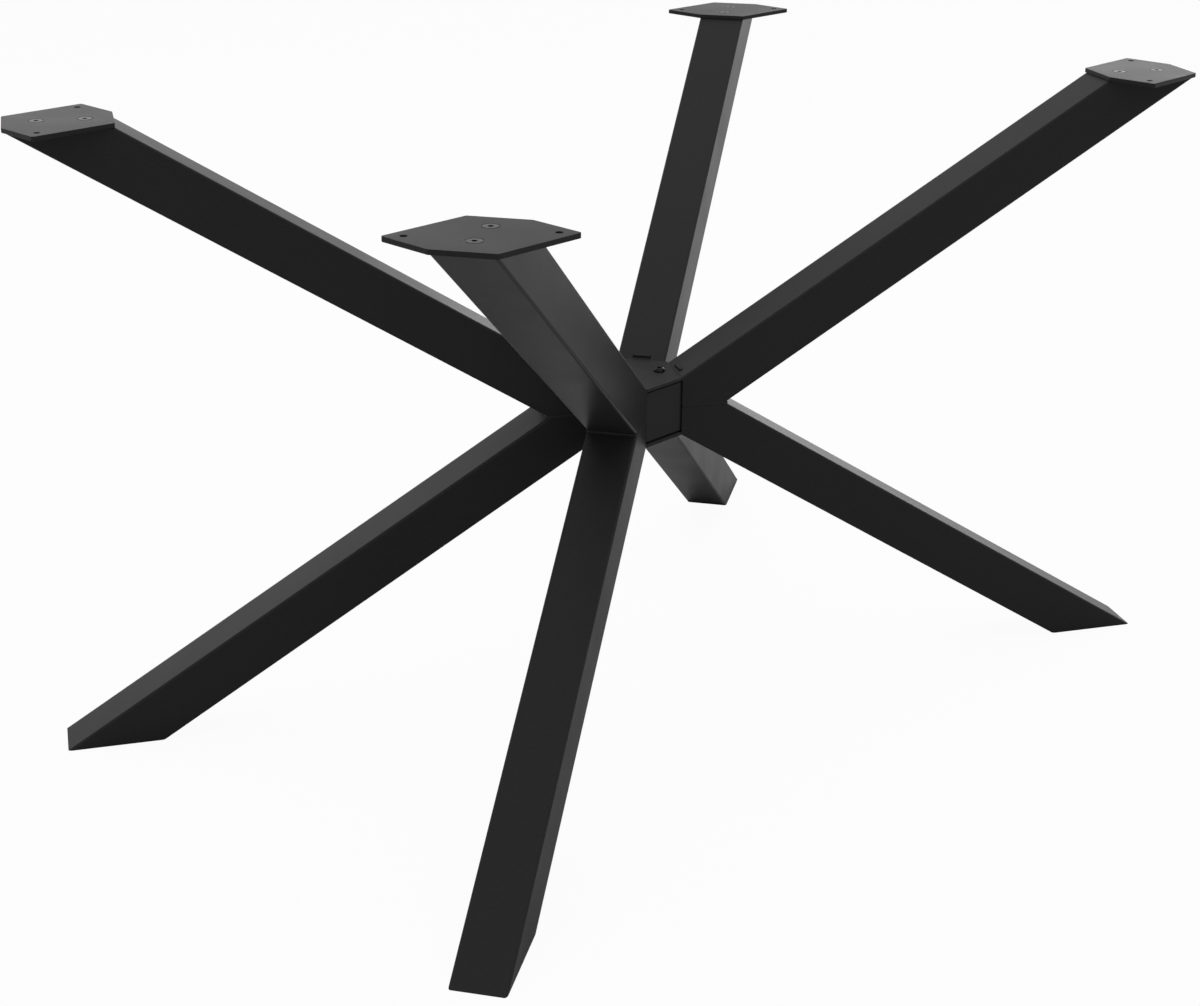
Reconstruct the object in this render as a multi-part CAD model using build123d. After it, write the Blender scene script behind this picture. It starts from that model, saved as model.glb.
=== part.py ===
"""Cross table base: four arm-and-leg units of square steel tube bolted round a hub, with mounting plates.

Millimetres. The origin is on the floor under the middle of the hub.
X runs along the table, Y across it, Z up.
"""
import os
from math import cos, radians, sin, sqrt, tan

from build123d import *

# Overall shape
base_height = 735.0
hub_height = 73.0
arm_slope = 32.1
arm_turn = 31.0
unit_gap = 4.5

# Square tube of the arms and legs
tube_width = 60.0
tube_wall = 2.5
tube_corner_radius = 3.0
tube_least_bore_radius = 0.25
crotch_weld_size = 3.0
crotch_weld_hollow = 0.75

# Mounting plates under the table top
plate_length = 130.0
plate_width = 112.0
plate_thickness = 5.0
plate_overhang = 1.2
plate_corner_radius = 3.0
plate_hole_diameter = 7.0
plate_hole_inset = 14.0

# Countersunk socket screws that hold the mounting plates
screw_diameter = 8.0
screw_head_diameter = 15.4
countersink_ring_width = 1.0
screw_socket_width = 5.0
screw_socket_depth = 3.0
screw_spacing = 50.0
screw_inward_shift = 3.0
screw_tip_length = 3.0

# Plates that close the tube ends
head_plate_thickness = 8.0
foot_plate_thickness = 4.0
end_plate_thickness = 4.0
end_plate_inset = 2.0
slot_length = 22.0
slot_clearance = 0.25
tab_proud = 0.5
tab_corner_radius = 1.5

# Hub
cover_thickness = 4.0
core_wall = 5.0
core_setback = 2.0
shadow_gap_height = 2.0
shadow_gap_depth = 3.0

# Bolts through the hub covers
cover_bolt_diameter = 8.0
cover_bolt_head_diameter = 14.0
cover_bolt_head_height = 4.4
cover_bolt_rim_height = 0.8
cover_bolt_crown_diameter = 7.5
cover_bolt_dome_bulge = 0.8
cover_bolt_socket_width = 5.0
cover_bolt_socket_depth = 2.6
cover_bolt_to_unit_bolt = 2.9
cover_bolt_tip_length = 2.0
cover_nut_width = 13.0
cover_nut_height = 6.5
cover_washer_diameter = 16.0
cover_washer_thickness = 1.6

# Bolts that hold the units to the hub core
unit_bolt_diameter = 10.0
unit_bolt_head_width = 16.0
unit_bolt_head_height = 6.4
unit_bolt_spacing = 34.0
unit_bolt_tip_length = 2.0
unit_washer_diameter = 20.0
unit_washer_thickness = 2.0
unit_nut_width = 16.0
unit_nut_height = 8.0

# Six-sided nuts and bolt heads, chamfered at their corners
hex_face_share = 0.95
hex_chamfer_angle = 30.0

# Clearance on the diameter of every plain bolt hole
bolt_hole_clearance = 1.0

# Derived heights
arm_top = base_height - plate_thickness
mid_height = arm_top / 2
hub_half_height = hub_height / 2
hub_top = mid_height + hub_half_height
hub_bottom = mid_height - hub_half_height

# Derived reaches from the middle of the base, along a unit
slope_sine = sin(radians(arm_slope))
slope_cosine = cos(radians(arm_slope))
slope_tangent = tan(radians(arm_slope))
turn_sine = sin(radians(arm_turn))
turn_cosine = cos(radians(arm_turn))
hub_reach = (tube_width / 2 * turn_cosine + unit_gap / 2) / turn_sine
tube_cut_length = tube_width / slope_sine
end_inner_reach = hub_reach + (mid_height - hub_half_height) / slope_tangent
end_outer_reach = end_inner_reach + tube_cut_length
end_middle_reach = end_inner_reach + tube_cut_length / 2
crotch_reach = end_outer_reach - mid_height / slope_tangent

# Derived reaches and half heights of the end plates, whose tabs come out through the sloped walls
end_plate_start = hub_reach + end_plate_inset
end_plate_end = end_plate_start + end_plate_thickness
wall_rise_at_start = (end_plate_start - hub_reach) * slope_tangent
wall_rise_at_end = (end_plate_end - hub_reach) * slope_tangent
end_plate_half_height = hub_half_height + wall_rise_at_start - tube_wall / slope_cosine
tab_half_height = hub_half_height + wall_rise_at_end + tab_proud

# Derived tube and hub sizes
bore_width = tube_width - 2 * tube_wall
bore_corner_radius = max(tube_corner_radius - tube_wall, tube_least_bore_radius)
hub_half_length = hub_reach * turn_cosine + tube_width / 2 * turn_sine
hub_half_width = hub_reach * turn_sine + tube_width / 2 * turn_cosine
core_reach = hub_reach - core_wall
unit_head_reach = core_reach - unit_washer_thickness
cover_bolt_outer_reach = unit_head_reach - unit_bolt_head_height - cover_bolt_to_unit_bolt
cover_bolt_reach = cover_bolt_outer_reach - cover_bolt_diameter / 2

# A length longer than anything in the base, for cutting tools
far = 4 * end_outer_reach

# Sides of the middle that each unit stands on, as signs along X and Y
corners = {
    "front_left": (-1, -1),
    "front_right": (1, -1),
    "back_left": (-1, 1),
    "back_right": (1, 1),
}


def at_corner(shape, corner):
    """Shape made for the back right corner, mirrored to the named corner."""
    x_side, y_side = corners[corner]
    if x_side < 0:
        shape = mirror(shape, about=Plane.YZ)
    if y_side < 0:
        shape = mirror(shape, about=Plane.XZ)
    return shape


def turned(shape):
    """Shape made along X, turned to the direction of the back right unit."""
    return Rot(Z=arm_turn) * shape


def mirrored_below(shape):
    """Shape made for the arm, mirrored about mid height for the leg."""
    return mirror(shape, about=Plane.XY.offset(mid_height))


def slab(low, high, start=-far, end=far):
    """Very wide block between two heights and two reaches along X."""
    return Pos((start + end) / 2, 0, (low + high) / 2) * Box(end - start, far, high - low)


def sloped_bar(width, corner_radius):
    """Solid square bar on the centre line of an arm, longer than the arm at both ends."""
    section_plane = Plane(
        origin=(end_middle_reach, 0, arm_top),
        x_dir=(0, 1, 0),
        z_dir=(slope_cosine, 0, slope_sine),
    )
    section = RectangleRounded(width, width, corner_radius)
    return extrude(section_plane * section, amount=far / 2, both=True)


def arm_space():
    """Space that an arm may fill: from mid height to its top, outside the hub."""
    return slab(mid_height, arm_top, start=hub_reach)


def arm_bore():
    """Hollow of an arm, as a solid."""
    return sloped_bar(bore_width, bore_corner_radius) & arm_space()


def tab_slot():
    """Slot through the top wall of an arm beside the hub, for the tab of the end plate."""
    start = end_plate_start - slot_clearance
    end = end_plate_end + slot_clearance
    return Pos((start + end) / 2, 0, hub_top) * Box(end - start, slot_length, hub_half_height)


def arm_tube():
    """Upper arm: square tube cut level at top and middle, and upright at the hub."""
    arm = sloped_bar(tube_width, tube_corner_radius) & arm_space()
    return arm - arm_bore() - tab_slot()


def crotch_weld():
    """Weld bead that fills the tip of the angle between arm and leg."""
    rise = crotch_weld_size * slope_tangent
    tip = (crotch_reach, mid_height)
    upper = (crotch_reach + crotch_weld_size, mid_height + rise)
    lower = (crotch_reach + crotch_weld_size, mid_height - rise)
    hollow = (crotch_reach + crotch_weld_size - crotch_weld_hollow, mid_height)
    outline = Line(tip, upper) + ThreePointArc(upper, hollow, lower) + Line(lower, tip)
    bead = make_face(Plane.XZ * outline)
    return extrude(bead, amount=tube_width / 2 - tube_corner_radius, both=True)


def leg_tube():
    """Lower leg: the arm mirrored below mid height, with the weld bead in the crotch."""
    return mirrored_below(arm_tube()) + crotch_weld()


def screw_reaches():
    """Reaches of the two countersunk screws of a mounting plate."""
    middle = end_middle_reach - screw_inward_shift
    return [middle - screw_spacing / 2, middle + screw_spacing / 2]


def head_plate():
    """Plate in the top end of an arm, threaded for the countersunk screws."""
    plate = arm_bore() & slab(arm_top - head_plate_thickness, arm_top)
    for reach in screw_reaches():
        plate -= Pos(reach, 0, arm_top) * Cylinder(screw_diameter / 2, far)
    return plate


def foot_plate():
    """Plate that closes the floor end of a leg."""
    return mirrored_below(arm_bore()) & slab(0, foot_plate_thickness)


def unit_bolt_heights():
    """Heights of the two bolts of a unit."""
    return [mid_height - unit_bolt_spacing / 2, mid_height + unit_bolt_spacing / 2]


def radial_hole(diameter, height):
    """Cylinder along a unit, for the holes of its bolts."""
    return Pos(hub_reach, 0, height) * Rot(Y=90) * Cylinder(diameter / 2, hub_reach)


def end_plate():
    """Flat plate inside the hub end of a unit, with tabs out through the slots of its arm and leg."""
    body = RectangleRounded(bore_width, 2 * end_plate_half_height, bore_corner_radius / slope_cosine)
    tab_width = slot_length - 2 * slot_clearance
    tabs = RectangleRounded(tab_width, 2 * tab_half_height, tab_corner_radius)
    face = Plane(origin=(end_plate_start, 0, mid_height), x_dir=(0, 1, 0), z_dir=(1, 0, 0))
    plate = extrude(face * (body + tabs), amount=end_plate_thickness)
    for height in unit_bolt_heights():
        plate -= radial_hole(unit_bolt_diameter + bolt_hole_clearance, height)
    return plate


def mounting_plate():
    """Plate along the table's axes, with two corners cut square to the arm, and its screw holes."""
    outline = Rectangle(plate_length, plate_width)
    span = tube_cut_length + 2 * plate_overhang
    outline &= Rot(Z=arm_turn) * Rectangle(span, far)
    outline = fillet(outline.vertices(), plate_corner_radius)
    plate = extrude(outline, amount=plate_thickness)
    hole_x = plate_length / 2 - plate_hole_inset
    hole_y = plate_width / 2 - plate_hole_inset
    for side in (-1, 1):
        plate -= Pos(side * hole_x, -side * hole_y, 0) * Cylinder(plate_hole_diameter / 2, far)
    plate = Pos(end_middle_reach * turn_cosine, end_middle_reach * turn_sine, arm_top) * plate
    for reach in screw_reaches():
        plate -= turned(Pos(reach, 0, base_height) * countersink())
    return plate


def countersink():
    """Countersunk hole from a surface at height zero, wider at its mouth than the screw head."""
    mouth_radius = screw_head_diameter / 2 + countersink_ring_width
    cone = Pos(0, 0, -mouth_radius / 2) * Cone(0, mouth_radius, mouth_radius)
    return cone + Cylinder((screw_diameter + bolt_hole_clearance) / 2, far)


def hex_prism(width, height, bottom=0.0):
    """Upright six-sided prism of a width across flats, standing on the given height."""
    outline = RegularPolygon(width / 2, 6, major_radius=False)
    return Pos(0, 0, bottom) * extrude(outline, amount=height)


def rod(diameter, top, bottom):
    """Upright round rod between two heights."""
    return Pos(0, 0, (top + bottom) / 2) * Cylinder(diameter / 2, top - bottom)


def chamfered_hex(width, height):
    """Six-sided nut blank standing on height zero, with its corners chamfered above and below."""
    corner_radius = width / sqrt(3)
    face_radius = hex_face_share * width / 2
    drop = (corner_radius - face_radius) * tan(radians(hex_chamfer_angle))
    bottom = Polyline((0, 0), (face_radius, 0), (corner_radius, drop))
    top = Polyline((corner_radius, drop), (corner_radius, height - drop), (face_radius, height), (0, height))
    axis = Line((0, height), (0, 0))
    turned_blank = revolve(make_face(Plane.XZ * (bottom + top + axis)), Axis.Z)
    return hex_prism(width, height) & turned_blank


def countersunk_screw():
    """Countersunk socket screw: an upright rim with its top at height zero, over a right-angled cone."""
    head_radius = screw_head_diameter / 2
    rim_bottom = -countersink_ring_width
    cone = Pos(0, 0, rim_bottom - head_radius / 2) * Cone(0, head_radius, head_radius)
    rim = rod(screw_head_diameter, 0, rim_bottom)
    length = plate_thickness + head_plate_thickness + screw_tip_length
    screw = rim + cone + rod(screw_diameter, rim_bottom, -length)
    return screw - hex_prism(screw_socket_width, screw_socket_depth, -screw_socket_depth)


def plate_screws():
    """The countersunk screws of one mounting plate."""
    screw = countersunk_screw()
    return [turned(Pos(reach, 0, base_height) * screw) for reach in screw_reaches()]


def washer(outside, bolt_diameter, thickness):
    """Flat washer standing on height zero."""
    return rod(outside, thickness, 0) - Cylinder((bolt_diameter + bolt_hole_clearance) / 2, far)


def nut(width, height, bolt_diameter):
    """Six-sided nut standing on height zero."""
    return chamfered_hex(width, height) - Cylinder(bolt_diameter / 2, far)


def radial_piece(piece, reach, height):
    """Upright piece laid along a unit so that its top faces the middle of the base."""
    return turned(Pos(reach, 0, height) * Rot(Y=-90) * piece)


def unit_bolts():
    """The two hexagon bolts of one unit, with their heads inside the hub core."""
    grip = unit_washer_thickness + core_wall + end_plate_inset + end_plate_thickness
    length = grip + unit_nut_height + unit_bolt_tip_length
    head = chamfered_hex(unit_bolt_head_width, unit_bolt_head_height)
    bolt = head + rod(unit_bolt_diameter, 0, -length)
    return [radial_piece(bolt, unit_head_reach, height) for height in unit_bolt_heights()]


def unit_washers():
    """The two washers under the bolt heads of one unit."""
    ring = washer(unit_washer_diameter, unit_bolt_diameter, unit_washer_thickness)
    return [radial_piece(ring, core_reach, height) for height in unit_bolt_heights()]


def unit_nuts():
    """The two weld nuts behind the end plate of one unit."""
    back = end_plate_end + unit_nut_height
    piece = nut(unit_nut_width, unit_nut_height, unit_bolt_diameter)
    return [radial_piece(piece, back, height) for height in unit_bolt_heights()]


def hub_outline(reach, half_length, half_width):
    """Eight-sided outline with one side square to each unit and four along the table's axes."""
    outline = Rectangle(2 * half_length, 2 * half_width)
    for turn in (arm_turn, -arm_turn):
        outline &= Rot(Z=turn) * Rectangle(2 * reach, far)
    return outline


def hub_core():
    """Ring of walls between the covers, with bolt holes to the units and a shadow gap on its open faces."""
    half_length = hub_half_length - core_setback
    half_width = hub_half_width - core_setback
    outside = hub_outline(hub_reach, half_length, half_width)
    inside = hub_outline(core_reach, half_length - core_wall, half_width - core_wall)
    bottom = hub_bottom + cover_thickness
    height = hub_height - 2 * cover_thickness
    core = Pos(0, 0, bottom) * extrude(outside - inside, amount=height)
    for level in (bottom, bottom + height):
        for side in (-1, 1):
            gap = Box(far, 2 * shadow_gap_depth, 2 * shadow_gap_height)
            core -= Pos(0, side * half_width, level) * gap
    for corner in corners:
        for level in unit_bolt_heights():
            hole = turned(radial_hole(unit_bolt_diameter + bolt_hole_clearance, level))
            core -= at_corner(hole, corner)
    return core


def cover_bolt_places():
    """Plan places of the two cover bolts, on the line of the front right and back left units."""
    x = cover_bolt_reach * turn_cosine
    y = cover_bolt_reach * turn_sine
    return [(x, -y), (-x, y)]


def hub_cover(bottom):
    """Flat hub cover standing on the given height, with the holes of the cover bolts."""
    cover = extrude(hub_outline(hub_reach, hub_half_length, hub_half_width), amount=cover_thickness)
    for x, y in cover_bolt_places():
        cover -= Pos(x, y, 0) * Cylinder((cover_bolt_diameter + bolt_hole_clearance) / 2, far)
    return Pos(0, 0, bottom) * cover


def cover_bolt():
    """Round-headed socket bolt with the underside of its head at height zero."""
    head_radius = cover_bolt_head_diameter / 2
    shoulder = (head_radius, cover_bolt_rim_height)
    crown = (cover_bolt_crown_diameter / 2, cover_bolt_head_height)
    side = Polyline((0, 0), (head_radius, 0), shoulder) + SagittaArc(shoulder, crown, -cover_bolt_dome_bulge)
    top = Polyline(crown, (0, cover_bolt_head_height), (0, 0))
    head = revolve(make_face(Plane.XZ * (side + top)), Axis.Z)
    socket_bottom = cover_bolt_head_height - cover_bolt_socket_depth
    head -= hex_prism(cover_bolt_socket_width, cover_bolt_head_height, socket_bottom)
    length = hub_height + cover_washer_thickness + cover_nut_height + cover_bolt_tip_length
    return head + rod(cover_bolt_diameter, 0, -length)


def at_cover_bolts(piece, height):
    """Copies of an upright piece at the cover bolts, at the given height."""
    return [Pos(x, y, height) * piece for x, y in cover_bolt_places()]


def save(name, shape):
    """Write one piece, or one group of like pieces, under its name."""
    solids = shape if isinstance(shape, list) else shape.solids()
    piece = solids[0] if len(solids) == 1 else Compound(children=solids)
    export_step(piece, f"parts/{name}.step")


def save_at_corners(name, shape):
    """Write one copy of a unit's piece for each corner."""
    for corner in corners:
        save(f"{name}_{corner}", at_corner(shape, corner))


def save_group(name, pieces):
    """Write the like fasteners of all four units as one group."""
    save(name, [at_corner(piece, corner) for corner in corners for piece in pieces])


os.makedirs("parts", exist_ok=True)
save_at_corners("upper_arm", turned(arm_tube()))
save_at_corners("lower_leg", turned(leg_tube()))
save_at_corners("arm_head_plate", turned(head_plate()))
save_at_corners("leg_foot_plate", turned(foot_plate()))
save_at_corners("unit_end_plate", turned(end_plate()))
save_at_corners("mounting_plate", mounting_plate())
save_group("mounting_plate_screws", plate_screws())
save_group("unit_bolts", unit_bolts())
save_group("unit_bolt_washers", unit_washers())
save_group("unit_weld_nuts", unit_nuts())
save("hub_core", hub_core())
save("hub_top_cover", hub_cover(hub_top - cover_thickness))
save("hub_bottom_cover", hub_cover(hub_bottom))
save("hub_cover_bolts", at_cover_bolts(cover_bolt(), hub_top))
under_cover_washer = hub_bottom - cover_washer_thickness
cover_washer = washer(cover_washer_diameter, cover_bolt_diameter, cover_washer_thickness)
cover_nut = nut(cover_nut_width, cover_nut_height, cover_bolt_diameter)
save("hub_cover_washers", at_cover_bolts(cover_washer, under_cover_washer))
save("hub_cover_nuts", at_cover_bolts(cover_nut, under_cover_washer - cover_nut_height))
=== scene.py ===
"""Dresses the cross table base: finishes, edge breaks, weld beads, bolt threads, floor, light and camera.

Metres, in the frame of the CAD model: the floor is at height zero under the middle of the hub,
X runs along the table, Y across it and Z up.
"""
import logging
import math
from dataclasses import dataclass
from enum import Enum
from functools import cached_property
from typing import Iterable

import bmesh
import bpy
from mathutils import Matrix, Vector


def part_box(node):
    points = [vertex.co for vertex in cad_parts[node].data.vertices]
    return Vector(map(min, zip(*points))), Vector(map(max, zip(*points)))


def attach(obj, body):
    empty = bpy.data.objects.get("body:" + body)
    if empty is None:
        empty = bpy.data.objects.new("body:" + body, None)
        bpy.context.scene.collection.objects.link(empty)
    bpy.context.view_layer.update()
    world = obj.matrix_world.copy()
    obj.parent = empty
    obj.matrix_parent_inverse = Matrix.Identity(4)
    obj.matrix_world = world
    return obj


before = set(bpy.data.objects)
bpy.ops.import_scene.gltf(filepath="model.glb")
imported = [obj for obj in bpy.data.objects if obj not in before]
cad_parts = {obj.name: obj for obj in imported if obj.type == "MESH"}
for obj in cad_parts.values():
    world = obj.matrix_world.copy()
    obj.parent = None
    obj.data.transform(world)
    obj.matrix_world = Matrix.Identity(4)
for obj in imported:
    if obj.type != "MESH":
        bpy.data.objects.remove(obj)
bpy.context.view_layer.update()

log = logging.getLogger("cross_table_base")

MILLIMETRE = 0.001
BODY = "root"
UP = Vector((0, 0, 1))
WHITE = (1, 1, 1, 1)
NOISE_LOW = 0.3
NOISE_HIGH = 0.7


class Corner(Enum):
    """Corner of the base, as the side of the middle that its unit stands on along X and Y."""

    FRONT_LEFT = (-1, -1)
    FRONT_RIGHT = (1, -1)
    BACK_LEFT = (-1, 1)
    BACK_RIGHT = (1, 1)

    def node(self, piece: str) -> str:
        """Name of this corner's CAD node of a piece."""
        return f"{piece}_{self.name.lower()}"

    def place(self, along: float, across: float, height: float, turn: float) -> Vector:
        """Point of this corner's unit in the frame.

        Args:
            along: Reach from the middle of the base along the unit.
            across: Distance from the unit's middle plane.
            height: Height above the floor.
            turn: Angle between the unit and the table's long axis.

        Returns:
            The point in metres.
        """
        x_side, y_side = self.value
        x = along * math.cos(turn) - across * math.sin(turn)
        y = along * math.sin(turn) + across * math.cos(turn)
        return Vector((x_side * x, y_side * y, height))


class Slot(Enum):
    """Names of the record's material slots for the finishes that the added pieces share."""

    POWDER_COAT = "powder_coat"
    BLACK_SCREW = "black_screw"


class Graph:
    """Node tree of one material."""

    def __init__(self, name: str) -> None:
        """Start an empty material.

        Args:
            name: Name of the material.
        """
        self.material = bpy.data.materials.new(name)
        self.material.use_nodes = True
        self.tree = self.material.node_tree
        self.tree.nodes.clear()

    def add(self, kind: str, **values: object) -> bpy.types.Node:
        """Add a node and set its inputs.

        Args:
            kind: Node type, without the common front part of its name.
            **values: Input values, under the inputs' names with spaces written as underscores.

        Returns:
            The new node.
        """
        node = self.tree.nodes.new(f"ShaderNode{kind}")
        for name, value in values.items():
            node.inputs[name.replace("_", " ")].default_value = value
        return node

    def link(self, source: bpy.types.NodeSocket, target: bpy.types.NodeSocket) -> None:
        """Join an output to an input."""
        self.tree.links.new(source, target)

    def noise(self, size: float, detail: float) -> bpy.types.NodeSocket:
        """Noise with features of a real size.

        Args:
            size: Width of the features in metres.
            detail: Number of finer layers.

        Returns:
            The noise value.
        """
        place = self.add("TexCoord")
        texture = self.add("TexNoise", Scale=1 / size, Detail=detail)
        self.link(place.outputs["Object"], texture.inputs["Vector"])
        return texture.outputs["Fac"]

    def spread(self, value: bpy.types.NodeSocket, low: float, high: float) -> bpy.types.NodeSocket:
        """Map the usual range of a noise to a range of numbers.

        Args:
            value: Noise value.
            low: Result for the low end of the noise.
            high: Result for its high end.

        Returns:
            The mapped value.
        """
        span = self.add("MapRange", From_Min=NOISE_LOW, From_Max=NOISE_HIGH, To_Min=low, To_Max=high)
        self.link(value, span.inputs["Value"])
        return span.outputs["Result"]

    def bump(self, heights: Iterable[tuple[bpy.types.NodeSocket, float]]) -> bpy.types.NodeSocket:
        """Stack bumps of real heights.

        Args:
            heights: Pairs of a noise value and the height of its relief in metres.

        Returns:
            The bumped normal.
        """
        normal = None
        for value, height in heights:
            layer = self.add("Bump", Strength=1.0, Distance=height)
            self.link(value, layer.inputs["Height"])
            if normal is not None:
                self.link(normal, layer.inputs["Normal"])
            normal = layer.outputs["Normal"]
        return normal

    def tint(self, value: bpy.types.NodeSocket, dark: float, light: float) -> bpy.types.NodeSocket:
        """Grey that follows a noise.

        Args:
            value: Noise value.
            dark: Linear grey at the low end.
            light: Linear grey at the high end.

        Returns:
            The colour.
        """
        ramp = self.add("ValToRGB")
        for end, place, grey in zip(ramp.color_ramp.elements, (NOISE_LOW, NOISE_HIGH), (dark, light)):
            end.position = place
            end.color = (grey, grey, grey, 1)
        self.link(value, ramp.inputs["Fac"])
        return ramp.outputs["Color"]

    def shade(self, shader: bpy.types.Node) -> bpy.types.Material:
        """Put the shader on the surface.

        Args:
            shader: Last node of the finish.

        Returns:
            The finished material.
        """
        output = self.add("OutputMaterial")
        self.link(shader.outputs[0], output.inputs["Surface"])
        return self.material


@dataclass(frozen=True)
class PowderCoat:
    """Matte black powder coat with a fine grain over a slow wave."""

    name: str = "matte_black_powder_coat"
    dark: float = 0.015
    light: float = 0.026
    grain_size: float = 0.7 * MILLIMETRE
    grain_height: float = 0.025 * MILLIMETRE
    grain_detail: float = 2.0
    wave_size: float = 4 * MILLIMETRE
    wave_height: float = 0.008 * MILLIMETRE
    wave_detail: float = 1.0
    cloud_size: float = 60 * MILLIMETRE
    cloud_detail: float = 3.0
    least_roughness: float = 0.34
    most_roughness: float = 0.38
    refraction: float = 1.16

    def material(self) -> bpy.types.Material:
        """Make the coat's material.

        Returns:
            The material.
        """
        graph = Graph(self.name)
        grain = graph.noise(self.grain_size, self.grain_detail)
        wave = graph.noise(self.wave_size, self.wave_detail)
        cloud = graph.noise(self.cloud_size, self.cloud_detail)
        coat = graph.add("BsdfPrincipled", IOR=self.refraction)
        graph.link(graph.tint(grain, self.dark, self.light), coat.inputs["Base Color"])
        graph.link(graph.spread(cloud, self.least_roughness, self.most_roughness), coat.inputs["Roughness"])
        relief = graph.bump([(wave, self.wave_height), (grain, self.grain_height)])
        graph.link(relief, coat.inputs["Normal"])
        return graph.shade(coat)


@dataclass(frozen=True)
class Steel:
    """Metal finish with fine grain, for screws, nuts and plain steel."""

    name: str
    dark: float
    light: float
    least_roughness: float
    most_roughness: float
    grain_size: float = 0.4 * MILLIMETRE
    grain_height: float = 0.006 * MILLIMETRE
    grain_detail: float = 3.0
    metal: float = 1.0

    def material(self) -> bpy.types.Material:
        """Make the metal's material.

        Returns:
            The material.
        """
        graph = Graph(self.name)
        grain = graph.noise(self.grain_size, self.grain_detail)
        metal = graph.add("BsdfPrincipled", Metallic=self.metal)
        graph.link(graph.tint(grain, self.dark, self.light), metal.inputs["Base Color"])
        graph.link(graph.spread(grain, self.least_roughness, self.most_roughness), metal.inputs["Roughness"])
        graph.link(graph.bump([(grain, self.grain_height)]), metal.inputs["Normal"])
        return graph.shade(metal)


BLACK_OXIDE = Steel("black_oxide_steel", 0.012, 0.024, 0.26, 0.38)
ZINC = Steel("zinc_plated_steel", 0.48, 0.60, 0.26, 0.40)
MILL_STEEL = Steel("mill_steel", 0.22, 0.34, 0.42, 0.60)


@dataclass(frozen=True)
class EdgeBreak:
    """Small rounding along the sharp edges of a piece."""

    radius: float
    steps: int = 2
    least_angle: float = math.radians(25)
    weld_distance: float = 0.001 * MILLIMETRE
    flat_face_weight: int = 100

    def apply(self, piece: bpy.types.Object) -> None:
        """Round a piece's edges with modifiers, which leave its mesh as it is.

        Args:
            piece: Object with sharp edges.
        """
        weld = piece.modifiers.new("joined_faces", "WELD")
        weld.merge_threshold = self.weld_distance
        bevel = piece.modifiers.new("broken_edges", "BEVEL")
        bevel.width = self.radius
        bevel.segments = self.steps
        bevel.limit_method = "ANGLE"
        bevel.angle_limit = self.least_angle
        bevel.use_clamp_overlap = False
        bevel.loop_slide = False
        shading = piece.modifiers.new("even_shading", "WEIGHTED_NORMAL")
        shading.mode = "FACE_AREA"
        shading.weight = self.flat_face_weight


@dataclass(frozen=True)
class WeldStop:
    """Place along a weld, with the way out of the joint there."""

    place: Vector
    outward: Vector


@dataclass(frozen=True)
class WeldBead:
    """Weld bead round a level joint, with the scales that the torch leaves."""

    half_width: float = 1.8 * MILLIMETRE
    height: float = 0.9 * MILLIMETRE
    sink: float = 0.15 * MILLIMETRE
    scale_pitch: float = 1.6 * MILLIMETRE
    scale_depth: float = 0.25
    wander: float = 0.12
    wander_rate: float = 2.3
    steps_per_scale: int = 6
    steps_across: int = 8

    @property
    def step(self) -> float:
        """Distance between two stops along the bead."""
        return self.scale_pitch / self.steps_per_scale

    def section(self, stop: int) -> list[tuple[float, float]]:
        """Outline of the bead across its length.

        Args:
            stop: Number of the stop along the bead.

        Returns:
            Pairs of the place upward and the place outward, round the section.
        """
        scales = stop / self.steps_per_scale
        height = self.height * (1 - self.scale_depth * (scales % 1.0))
        shift = self.wander * math.sin(self.wander_rate * scales)
        crown = []
        for number in range(self.steps_across + 1):
            side = 2 * number / self.steps_across - 1
            crown.append(((side + shift) * self.half_width, (1 - side * side) * height - self.sink))
        bottom = -2 * self.sink
        return crown + [(crown[-1][0], bottom), (crown[0][0], bottom)]

    def build(self, name: str, stops: list[WeldStop]) -> bpy.types.Object:
        """Make the bead as one closed mesh.

        Args:
            name: Name of the piece.
            stops: Stops along the joint.

        Returns:
            The bead.
        """
        mesh = bmesh.new()
        rings = []
        for number, stop in enumerate(stops):
            ring = [
                mesh.verts.new(stop.place + UP * upward + stop.outward * out)
                for upward, out in self.section(number)
            ]
            rings.append(ring)
        close_rings(mesh, rings)
        return finished_piece(name, mesh)


@dataclass(frozen=True)
class BoltThread:
    """Screw thread round the bare tip of a bolt that points down."""

    name: str
    start: Vector
    length: float
    radius: float
    pitch: float = 1.25 * MILLIMETRE
    depth: float = 0.3 * MILLIMETRE
    crest_share: float = 0.2
    foot_share: float = 0.8
    sink: float = 0.1 * MILLIMETRE
    steps_per_turn: int = 40

    def section(self) -> list[tuple[float, float]]:
        """Outline of the ridge.

        Returns:
            Pairs of the distance from the axis and the place along it.
        """
        foot = self.foot_share * self.pitch / 2
        crest = self.crest_share * self.pitch / 2
        bottom = self.radius - self.sink
        top = self.radius + self.depth
        return [(bottom, -foot), (top, -crest), (top, crest), (bottom, foot)]

    def build(self) -> bpy.types.Object:
        """Make the ridge as one closed mesh.

        Returns:
            The ridge.
        """
        run = self.length - self.foot_share * self.pitch
        steps = round(run / self.pitch * self.steps_per_turn)
        mesh = bmesh.new()
        rings = []
        for step in range(steps + 1):
            turn = 2 * math.pi * step / self.steps_per_turn
            outward = Vector((math.cos(turn), math.sin(turn), 0))
            drop = self.foot_share * self.pitch / 2 + run * step / steps
            ring = [
                mesh.verts.new(self.start + outward * reach + UP * (along - drop))
                for reach, along in self.section()
            ]
            rings.append(ring)
        close_rings(mesh, rings)
        return finished_piece(self.name, mesh)


def spaced(start: float, end: float, step: float) -> list[float]:
    """Even values from the start up to just before the end, about one step apart."""
    count = max(1, round((end - start) / step))
    return [start + (end - start) * number / count for number in range(count)]


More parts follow.
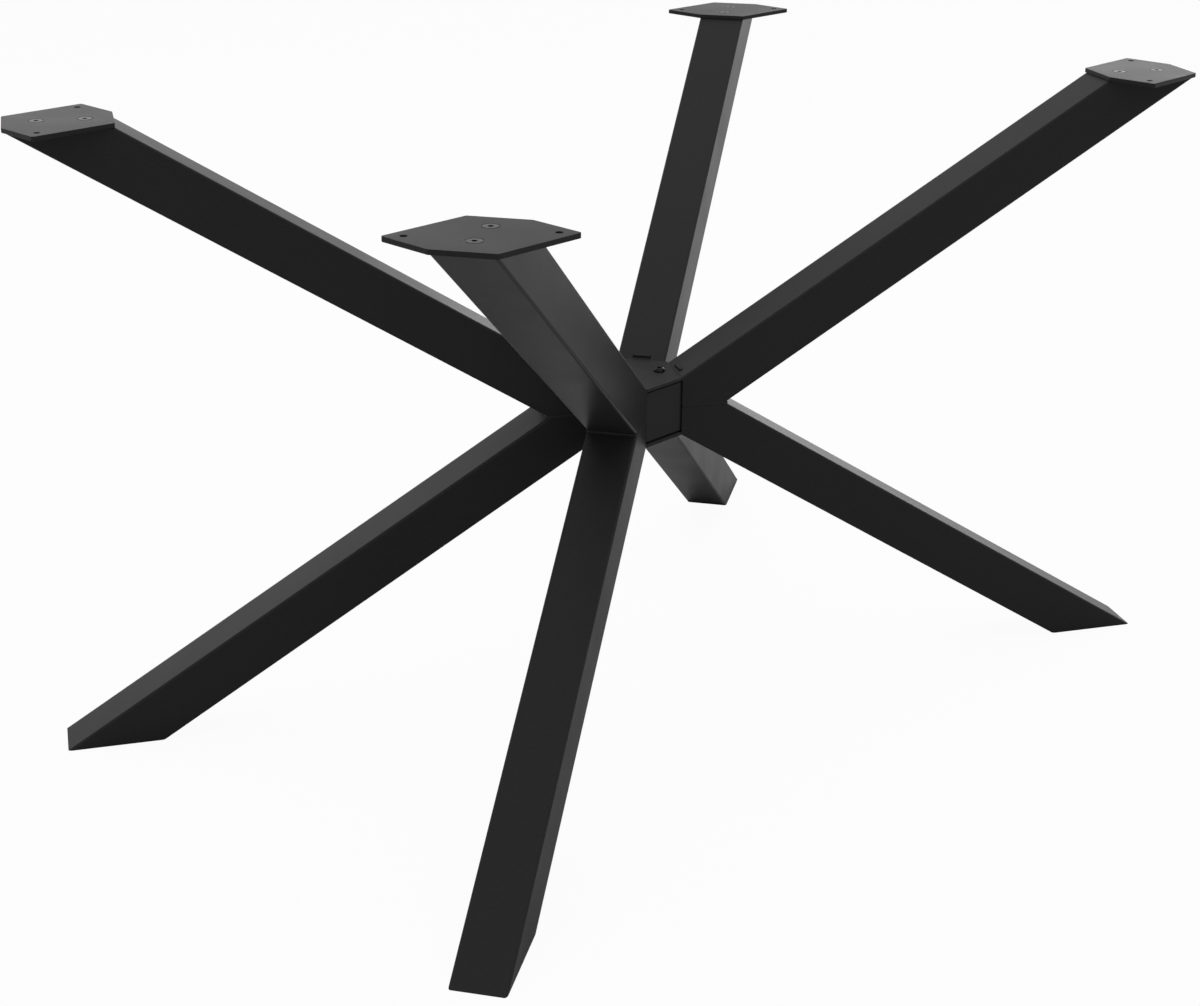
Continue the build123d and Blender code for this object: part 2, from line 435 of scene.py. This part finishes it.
def close_rings(mesh: bmesh.types.BMesh, rings: list[list[bmesh.types.BMVert]]) -> None:
    """Join a row of rings of points into one closed skin with an end face on each side.

    Args:
        mesh: Mesh that holds the points.
        rings: Rings in order, each with the same number of points.
    """
    for ring, after in zip(rings, rings[1:]):
        for index in range(len(ring)):
            following = (index + 1) % len(ring)
            mesh.faces.new((ring[index], ring[following], after[following], after[index]))
    mesh.faces.new(rings[0])
    mesh.faces.new(rings[-1])


def finished_piece(name: str, mesh: bmesh.types.BMesh) -> bpy.types.Object:
    """Turn a built mesh into a smooth piece that rides on the base.

    Args:
        name: Name of the piece.
        mesh: Closed mesh, which is used up.

    Returns:
        The new object.
    """
    bmesh.ops.recalc_face_normals(mesh, faces=mesh.faces)
    for face in mesh.faces:
        face.smooth = True
    data = bpy.data.meshes.new(name)
    mesh.to_mesh(data)
    mesh.free()
    piece = bpy.data.objects.new(name, data)
    bpy.context.scene.collection.objects.link(piece)
    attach(piece, BODY)
    log.info("built %s with %d faces", name, len(data.polygons))
    return piece


class Dresser:
    """Finishes made once and put on pieces by name."""

    def __init__(self) -> None:
        """Start with no material made."""
        self.made: dict[str, bpy.types.Material] = {}

    def finish(self, piece: bpy.types.Object, look: PowderCoat | Steel) -> None:
        """Put a finish on a piece.

        Args:
            piece: Object to dress.
            look: Finish, whose material is made at its first use.
        """
        if look.name not in self.made:
            self.made[look.name] = look.material()
        piece.data.materials.clear()
        piece.data.materials.append(self.made[look.name])

    def dress_node(self, node: str, look: PowderCoat | Steel, edges: EdgeBreak | None = None) -> None:
        """Finish a CAD node and break its edges.

        Args:
            node: Name of the CAD node.
            look: Finish to put on it.
            edges: Rounding of its edges, or nothing to leave them sharp.
        """
        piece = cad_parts[node]
        self.finish(piece, look)
        if edges is not None:
            edges.apply(piece)
        log.info("dressed %s with %s", node, look.name)


@dataclass(frozen=True)
class ArmUnit:
    """One arm and leg of square tube, welded at mid height."""

    corner: Corner
    coat: PowderCoat
    turn: float = math.radians(31.0)
    slope: float = math.radians(32.1)
    tube_width: float = 60 * MILLIMETRE
    tube_corner_radius: float = 3 * MILLIMETRE
    unit_gap: float = 4.5 * MILLIMETRE
    hub_half_height: float = 36.5 * MILLIMETRE
    weld_end_margin: float = 1 * MILLIMETRE
    weld: WeldBead = WeldBead()
    edges: EdgeBreak = EdgeBreak(0.4 * MILLIMETRE)

    @cached_property
    def mid_height(self) -> float:
        """Height of the mitre between arm and leg."""
        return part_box(self.corner.node("upper_arm"))[0].z

    @property
    def hub_reach(self) -> float:
        """Reach of the unit's end on the hub."""
        half_span = self.tube_width / 2 * math.cos(self.turn) + self.unit_gap / 2
        return half_span / math.sin(self.turn)

    @property
    def crotch_reach(self) -> float:
        """Reach of the sharp angle between arm and leg."""
        drop = self.tube_width / math.cos(self.slope) - self.hub_half_height
        return self.hub_reach + drop / math.tan(self.slope)

    def point(self, along: float, across: float) -> Vector:
        """Point of the mitre at a reach along the unit and a distance across it."""
        return self.corner.place(along, across, self.mid_height, self.turn)

    def joint_line(self) -> list[tuple[float, float, float]]:
        """Plan of the joint between arm and leg, from one side through the crotch to the other side.

        Returns:
            The reach along the unit, the distance across it, and the turn of the tube wall, which is
            zero on the sides and a quarter turn in the crotch.
        """
        half_width = self.tube_width / 2
        radius = self.tube_corner_radius
        corner_length = radius / math.sin(self.slope)
        corner_start = self.crotch_reach - corner_length
        quarter = math.pi / 2
        side = [
            (reach, -half_width, 0.0)
            for reach in spaced(self.hub_reach + self.weld_end_margin, corner_start, self.weld.step)
        ]
        corner = [
            (corner_start + corner_length * math.sin(turn), radius * (1 - math.cos(turn)) - half_width, turn)
            for turn in spaced(0.0, quarter, self.weld.step / corner_length)
        ]
        crotch = [
            (self.crotch_reach, across, quarter)
            for across in spaced(radius - half_width, 0.0, self.weld.step)
        ]
        first_half = side + corner + crotch
        return first_half + [(reach, -across, turn) for reach, across, turn in reversed(first_half)]

    def weld_stop(self, reach: float, across: float, wall_turn: float) -> WeldStop:
        """Stop of the weld on the joint line, lifted out of the angle between the tube walls.

        Args:
            reach: Reach along the unit.
            across: Distance across the unit.
            wall_turn: Turn of the tube wall from its side to its outer face.

        Returns:
            The stop.
        """
        overhang = math.sin(wall_turn) * math.cos(self.slope)
        ahead = math.sin(wall_turn) * math.sin(self.slope)
        beside = math.copysign(math.cos(wall_turn), across)
        outward = (self.point(ahead, beside) - self.point(0, 0)).normalized()
        rise = self.weld.half_width * overhang / math.sqrt(1 - overhang * overhang)
        return WeldStop(self.point(reach, across) + outward * rise, outward)

    def build_weld(self, dresser: Dresser) -> None:
        """Weld the joint between arm and leg.

        Args:
            dresser: Finishes to use.
        """
        stops = [self.weld_stop(*place) for place in self.joint_line()]
        bead = self.weld.build(self.corner.node("joint_weld"), stops)
        dresser.finish(bead, self.coat)

    def dress(self, dresser: Dresser) -> None:
        """Finish the tubes and the plates in their ends, and add the weld.

        Args:
            dresser: Finishes to use.
        """
        for piece in ("upper_arm", "lower_leg", "leg_foot_plate", "unit_end_plate"):
            dresser.dress_node(self.corner.node(piece), self.coat, self.edges)
        dresser.dress_node(self.corner.node("arm_head_plate"), MILL_STEEL)
        self.build_weld(dresser)


@dataclass(frozen=True)
class MountingPlates:
    """The four plates under the table top and their countersunk screws."""

    coat: PowderCoat
    edges: EdgeBreak = EdgeBreak(0.35 * MILLIMETRE)
    screw_edges: EdgeBreak = EdgeBreak(0.1 * MILLIMETRE)

    def dress(self, dresser: Dresser) -> None:
        """Finish the plates and screws.

        Args:
            dresser: Finishes to use.
        """
        for corner in Corner:
            dresser.dress_node(corner.node("mounting_plate"), self.coat, self.edges)
        dresser.dress_node("mounting_plate_screws", BLACK_OXIDE, self.screw_edges)


@dataclass(frozen=True)
class Hub:
    """Core, covers and bolts in the middle of the base."""

    coat: PowderCoat
    edges: EdgeBreak = EdgeBreak(0.4 * MILLIMETRE)
    bolt_edges: EdgeBreak = EdgeBreak(0.15 * MILLIMETRE)
    bolt_radius: float = 4 * MILLIMETRE
    bolt_head_radius: float = 7 * MILLIMETRE

    def build_threads(self, dresser: Dresser) -> None:
        """Add the thread that shows under the two nuts.

        Args:
            dresser: Finishes to use.
        """
        low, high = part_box("hub_cover_bolts")
        nut_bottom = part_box("hub_cover_nuts")[0].z
        x_reach = high.x - self.bolt_head_radius
        y_reach = high.y - self.bolt_head_radius
        for number, side in enumerate((-1, 1), start=1):
            start = Vector((side * x_reach, -side * y_reach, nut_bottom))
            name = f"hub_cover_bolt_thread_{number}"
            thread = BoltThread(name, start, length=nut_bottom - low.z, radius=self.bolt_radius)
            dresser.finish(thread.build(), BLACK_OXIDE)

    def dress(self, dresser: Dresser) -> None:
        """Finish the hub's pieces and thread the bolt tips.

        Args:
            dresser: Finishes to use.
        """
        for piece in ("hub_core", "hub_top_cover", "hub_bottom_cover"):
            dresser.dress_node(piece, self.coat, self.edges)
        for piece in ("hub_cover_bolts", "hub_cover_nuts", "hub_cover_washers"):
            dresser.dress_node(piece, BLACK_OXIDE, self.bolt_edges)
        for piece in ("unit_bolts", "unit_bolt_washers", "unit_weld_nuts"):
            dresser.dress_node(piece, ZINC)
        self.build_threads(dresser)


@dataclass(frozen=True)
class SoftBox:
    """Large soft lamp aimed at a point."""

    name: str
    place: tuple[float, float, float]
    target: tuple[float, float, float]
    width: float
    height: float
    power: float
    mirrored: bool

    def build(self) -> None:
        """Make the lamp."""
        data = bpy.data.lights.new(self.name, "AREA")
        data.shape = "RECTANGLE"
        data.size = self.width
        data.size_y = self.height
        data.energy = self.power
        lamp = bpy.data.objects.new(self.name, data)
        bpy.context.scene.collection.objects.link(lamp)
        lamp.location = self.place
        aim = Vector(self.target) - Vector(self.place)
        lamp.rotation_euler = aim.to_track_quat("-Z", "Y").to_euler()
        lamp.visible_camera = False
        lamp.visible_glossy = self.mirrored


@dataclass(frozen=True)
class Studio:
    """Pale floor, white background, soft lamps and the camera."""

    floor_half_size: float = 40.0
    floor_drop: float = 0.2 * MILLIMETRE
    floor_grey: float = 0.6
    floor_glow: float = 0.95
    # Reaches over which the painted shade on the floor, seen in reflections, fades out from the base.
    painted_shade_near_reach: float = 0.65
    painted_shade_far_reach: float = 1.8
    ambient: float = 0.55
    mirrored_sky: float = 0.73
    lamp_target: tuple[float, float, float] = (0.0, 0.0, 0.4)
    lens: float = 60.37
    sensor: float = 36.0
    camera_place: tuple[float, float, float] = (-1.6756, -1.5471, 1.1770)
    camera_yaw: float = math.radians(46.359)
    camera_pitch: float = math.radians(22.484)
    camera_roll: float = math.radians(0.467)

    def backdrop_rays(self, tree: bpy.types.NodeTree, mirrored: float) -> bpy.types.NodeSocket:
        """Share of the white background that each kind of ray sees.

        Args:
            tree: Node tree to add to.
            mirrored: Share for glossy rays.

        Returns:
            One for camera and transmission rays, the share for glossy rays, and otherwise zero.
        """
        path = tree.nodes.new("ShaderNodeLightPath")
        shares = {"Is Transmission Ray": 1.0, "Is Glossy Ray": mirrored}
        seen = path.outputs["Is Camera Ray"]
        for name, share in shares.items():
            added = tree.nodes.new("ShaderNodeMath")
            added.operation = "MULTIPLY_ADD"
            added.use_clamp = True
            added.inputs[1].default_value = share
            tree.links.new(path.outputs[name], added.inputs[0])
            tree.links.new(seen, added.inputs[2])
            seen = added.outputs[0]
        return seen

    def build_world(self) -> None:
        """Make the white background and the soft light all round."""
        world = bpy.data.worlds.new("white_studio")
        bpy.context.scene.world = world
        world.use_nodes = True
        tree = world.node_tree
        tree.nodes.clear()
        level = tree.nodes.new("ShaderNodeMapRange")
        level.inputs["To Min"].default_value = self.ambient
        level.inputs["To Max"].default_value = 1.0
        tree.links.new(self.backdrop_rays(tree, self.mirrored_sky), level.inputs["Value"])
        background = tree.nodes.new("ShaderNodeBackground")
        background.inputs["Color"].default_value = WHITE
        tree.links.new(level.outputs["Result"], background.inputs["Strength"])
        output = tree.nodes.new("ShaderNodeOutputWorld")
        tree.links.new(background.outputs[0], output.inputs["Surface"])

    def floor_glow_with_painted_shade(self, graph: Graph) -> bpy.types.NodeSocket:
        """Share of white in the floor, with painted shade in reflections: glossy rays see the floor's lit
        grey under and near the base, fading to white far out, so the floor looks darker round the base as if
        shaded by it.

        Args:
            graph: Floor material to add to.

        Returns:
            The share, which is the full glow for all but glossy rays.
        """
        place = graph.add("TexCoord")
        reach = graph.add("VectorMath")
        reach.operation = "LENGTH"
        graph.link(place.outputs["Object"], reach.inputs[0])
        # Painted shade: for glossy rays the white glow is taken away near the base and comes back towards
        # the far reach.
        loss = graph.add("MapRange", From_Min=self.painted_shade_near_reach, From_Max=self.painted_shade_far_reach,
                         To_Min=-self.floor_glow, To_Max=0.0)
        graph.link(reach.outputs["Value"], loss.inputs["Value"])
        path = graph.add("LightPath")
        white = graph.add("Math")
        white.operation = "MULTIPLY_ADD"
        graph.link(path.outputs["Is Glossy Ray"], white.inputs[0])
        graph.link(loss.outputs["Result"], white.inputs[1])
        white.inputs[2].default_value = self.floor_glow
        return white.outputs[0]

    def build_floor(self) -> None:
        """Make the pale floor, which keeps a soft shadow."""
        mesh = bpy.data.meshes.new("studio_floor")
        half = self.floor_half_size
        level = -self.floor_drop
        corners = [(x * half, y * half, level) for x, y in ((-1, -1), (1, -1), (1, 1), (-1, 1))]
        mesh.from_pydata(corners, [], [range(len(corners))])
        floor = bpy.data.objects.new("studio_floor", mesh)
        bpy.context.scene.collection.objects.link(floor)
        graph = Graph("pale_floor")
        matte = graph.add("BsdfDiffuse", Color=(self.floor_grey, self.floor_grey, self.floor_grey, 1))
        glow = graph.add("Emission", Color=WHITE, Strength=1.0)
        share = graph.add("Math")
        share.operation = "MULTIPLY"
        graph.link(self.backdrop_rays(graph.tree, mirrored=1.0), share.inputs[0])
        graph.link(self.floor_glow_with_painted_shade(graph), share.inputs[1])
        both = graph.add("MixShader")
        graph.link(share.outputs[0], both.inputs["Fac"])
        graph.link(matte.outputs[0], both.inputs[1])
        graph.link(glow.outputs[0], both.inputs[2])
        mesh.materials.append(graph.shade(both))

    def lamps(self) -> list[SoftBox]:
        """Choose the soft lamps.

        Returns:
            One lamp overhead, one low behind on the right and one low behind.
        """
        overhead = SoftBox(
            name="overhead_lamp", place=(0.6, 0.8, 3.6), target=self.lamp_target,
            width=5.0, height=5.0, power=110.0, mirrored=False)
        back_right = SoftBox(
            name="back_right_lamp", place=(7.75, 2.55, 1.0), target=self.lamp_target,
            width=5.6, height=2.0, power=82.0, mirrored=True)
        back = SoftBox(
            name="back_lamp", place=(3.0, 7.6, 1.3), target=self.lamp_target,
            width=5.2, height=2.2, power=26.0, mirrored=True)
        return [overhead, back_right, back]

    def build_camera(self) -> None:
        """Place the camera at the photograph's viewing angle."""
        data = bpy.data.cameras.new("photo_camera")
        data.sensor_fit = "HORIZONTAL"
        data.sensor_width = self.sensor
        data.lens = self.lens
        camera = bpy.data.objects.new("photo_camera", data)
        bpy.context.scene.collection.objects.link(camera)
        heading = Matrix.Rotation(-self.camera_yaw, 4, "Z")
        tilt = Matrix.Rotation(math.pi / 2 - self.camera_pitch, 4, "X")
        roll = Matrix.Rotation(self.camera_roll, 4, "Z")
        camera.matrix_world = Matrix.Translation(self.camera_place) @ heading @ tilt @ roll
        bpy.context.scene.camera = camera

    def build(self) -> None:
        """Make everything round the object."""
        bpy.context.scene.view_settings.view_transform = "Standard"
        self.build_world()
        self.build_floor()
        for lamp in self.lamps():
            lamp.build()
            log.info("lit %s", lamp.name)
        self.build_camera()


def main() -> None:
    """Build the sub-assemblies in order, then the studio."""
    logging.basicConfig(level=logging.INFO, format="%(name)s: %(message)s")
    dresser = Dresser()
    coat = PowderCoat()
    for corner in Corner:
        ArmUnit(corner, coat).dress(dresser)
    MountingPlates(coat).dress(dresser)
    Hub(coat).dress(dresser)
    Studio().build()


if __name__ == "__main__":
    main()
